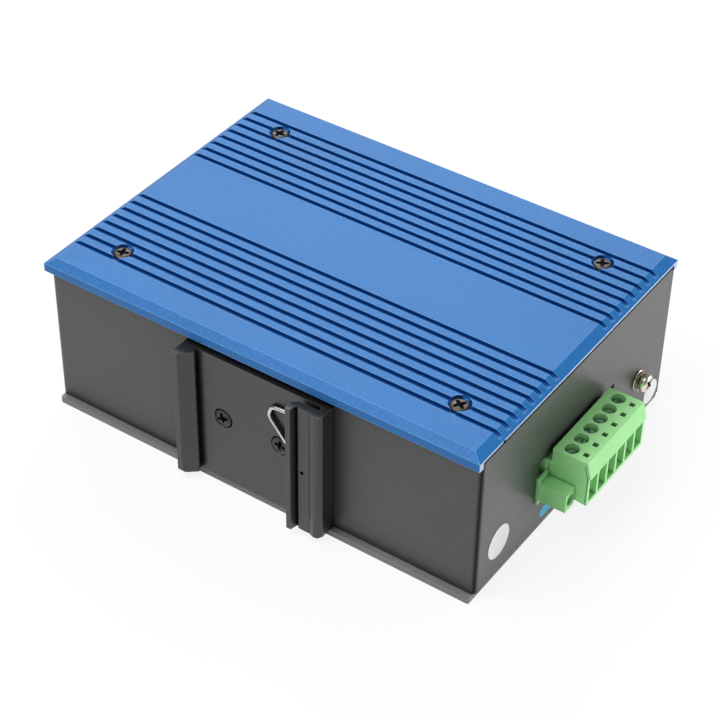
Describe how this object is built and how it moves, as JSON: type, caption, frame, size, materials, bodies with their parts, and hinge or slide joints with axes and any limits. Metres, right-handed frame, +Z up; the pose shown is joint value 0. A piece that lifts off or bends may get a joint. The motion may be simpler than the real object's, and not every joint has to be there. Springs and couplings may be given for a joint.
{
  "type": "din rail ethernet switch",
  "caption": "Flat industrial network switch with a blue finned cover, grey sheet case, rail bracket with wire spring and a green pluggable power terminal on its end.",
  "frame": {"origin": "middle of the underside of the base plate", "axes": "+X along the housing to the power terminal end, -Y to the rail side, +Y to the port side, +Z up through the finned cover"},
  "size_m": [0.158, 0.1118, 0.053],
  "materials": {
    "blue_cover": "fine-grained blue anodised surface",
    "dark_screw": "dark burnished steel",
    "plain_steel": "satin nickel-plated steel",
    "grey_sheet": "satin grey coated sheet",
    "dark_plate": "grained grey anodised plate",
    "black_extrusion": "black anodised extrusion",
    "black_steel": "blackened steel",
    "wire_steel": "bright drawn spring wire",
    "seal_rubber": "matte conductive rubber",
    "board_green": "solder mask over glass fibre",
    "black_plastic": "moulded, fine texture",
    "shield_tin": "tinned sheet",
    "gold": "gold-plated spring contact",
    "clear_guide": "clear moulded light guide",
    "lamp_lens": "small surface lamp",
    "chip_black": "moulded chip package",
    "pad_grey": "soft heat-conducting pad",
    "raw_aluminium": "milled",
    "can_metal": "sleeved can",
    "ferrite": "pressed ferrite",
    "green_plastic": "green moulded terminal plastic",
    "tin": "tinned copper alloy",
    "paper_film": "plain white film label"
  },
  "bodies": {
    "body": {"heatsink_cover": "blue_cover", "cover_screws": "dark_screw", "cover_posts": "plain_steel", "board_posts": "plain_steel", "base_plate": "dark_plate", "base_screws": "black_steel", "case_shell": "grey_sheet", "seal_frame": "seal_rubber", "port_panel": "grey_sheet", "rail_bracket": "black_extrusion", "bracket_screws": "black_steel", "rail_spring": "wire_steel", "circuit_board": "board_green", "jack_housing": "black_plastic", "jack_shield": "shield_tin", "jack_contacts": "gold", "light_guides": "clear_guide", "status_lamps": "lamp_lens", "switch_chip": "chip_black", "thermal_pads": "pad_grey", "heat_block": "raw_aluminium", "line_transformers": "chip_black", "filter_capacitors": "can_metal", "power_coils": "ferrite", "alarm_relay": "black_plastic", "small_chips": "chip_black", "terminal_header": "green_plastic", "header_pins": "tin", "flange_nuts": "tin", "earth_washers": "plain_steel", "earth_screw": "plain_steel", "earth_nut": "plain_steel", "round_label_near": "paper_film", "round_label_far": "paper_film"},
    "plug": {"plug_housing": "green_plastic", "plug_contacts": "tin"},
    "screw_1": {"clamp_screw_1": "plain_steel"},
    "cage_1": {"clamp_cage_1": "plain_steel"},
    "screw_2": {"clamp_screw_2": "plain_steel"},
    "cage_2": {"clamp_cage_2": "plain_steel"},
    "screw_3": {"clamp_screw_3": "plain_steel"},
    "cage_3": {"clamp_cage_3": "plain_steel"},
    "screw_4": {"clamp_screw_4": "plain_steel"},
    "cage_4": {"clamp_cage_4": "plain_steel"},
    "screw_5": {"clamp_screw_5": "plain_steel"},
    "cage_5": {"clamp_cage_5": "plain_steel"},
    "screw_6": {"clamp_screw_6": "plain_steel"},
    "cage_6": {"clamp_cage_6": "plain_steel"}
  },
  "joints": [
    {"name": "plug_pull", "type": "slide", "parent": "body", "child": "plug", "axis": [1, 0, 0], "range_m": [0, 0.02]},
    {"name": "clamp_1_turn", "type": "hinge", "parent": "plug", "child": "screw_1", "pos_m": [0.0776, -0.0123, 0.0262], "axis": [0, 0, -1], "range_deg": [0, 1234]},
    {"name": "clamp_1_rise", "type": "slide", "parent": "plug", "child": "cage_1", "axis": [0, 0, 1], "range_m": [0, 0.0017]},
    {"name": "clamp_2_turn", "type": "hinge", "parent": "plug", "child": "screw_2", "pos_m": [0.0776, -0.00722, 0.0262], "axis": [0, 0, -1], "range_deg": [0, 1234]},
    {"name": "clamp_2_rise", "type": "slide", "parent": "plug", "child": "cage_2", "axis": [0, 0, 1], "range_m": [0, 0.0017]},
    {"name": "clamp_3_turn", "type": "hinge", "parent": "plug", "child": "screw_3", "pos_m": [0.0776, -0.00214, 0.0262], "axis": [0, 0, -1], "range_deg": [0, 1234]},
    {"name": "clamp_3_rise", "type": "slide", "parent": "plug", "child": "cage_3", "axis": [0, 0, 1], "range_m": [0, 0.0017]},
    {"name": "clamp_4_turn", "type": "hinge", "parent": "plug", "child": "screw_4", "pos_m": [0.0776, 0.00294, 0.0262], "axis": [0, 0, -1], "range_deg": [0, 1234]},
    {"name": "clamp_4_rise", "type": "slide", "parent": "plug", "child": "cage_4", "axis": [0, 0, 1], "range_m": [0, 0.0017]},
    {"name": "clamp_5_turn", "type": "hinge", "parent": "plug", "child": "screw_5", "pos_m": [0.0776, 0.00802, 0.0262], "axis": [0, 0, -1], "range_deg": [0, 1234]},
    {"name": "clamp_5_rise", "type": "slide", "parent": "plug", "child": "cage_5", "axis": [0, 0, 1], "range_m": [0, 0.0017]},
    {"name": "clamp_6_turn", "type": "hinge", "parent": "plug", "child": "screw_6", "pos_m": [0.0776, 0.0131, 0.0262], "axis": [0, 0, -1], "range_deg": [0, 1234]},
    {"name": "clamp_6_rise", "type": "slide", "parent": "plug", "child": "cage_6", "axis": [0, 0, 1], "range_m": [0, 0.0017]}
  ],
  "couplings": [
    {"joint": "clamp_1_turn", "follows": "clamp_1_rise", "rad_per_m": 12566},
    {"joint": "clamp_2_turn", "follows": "clamp_2_rise", "rad_per_m": 12566},
    {"joint": "clamp_3_turn", "follows": "clamp_3_rise", "rad_per_m": 12566},
    {"joint": "clamp_4_turn", "follows": "clamp_4_rise", "rad_per_m": 12566},
    {"joint": "clamp_5_turn", "follows": "clamp_5_rise", "rad_per_m": 12566},
    {"joint": "clamp_6_turn", "follows": "clamp_6_rise", "rad_per_m": 12566}
  ]
}
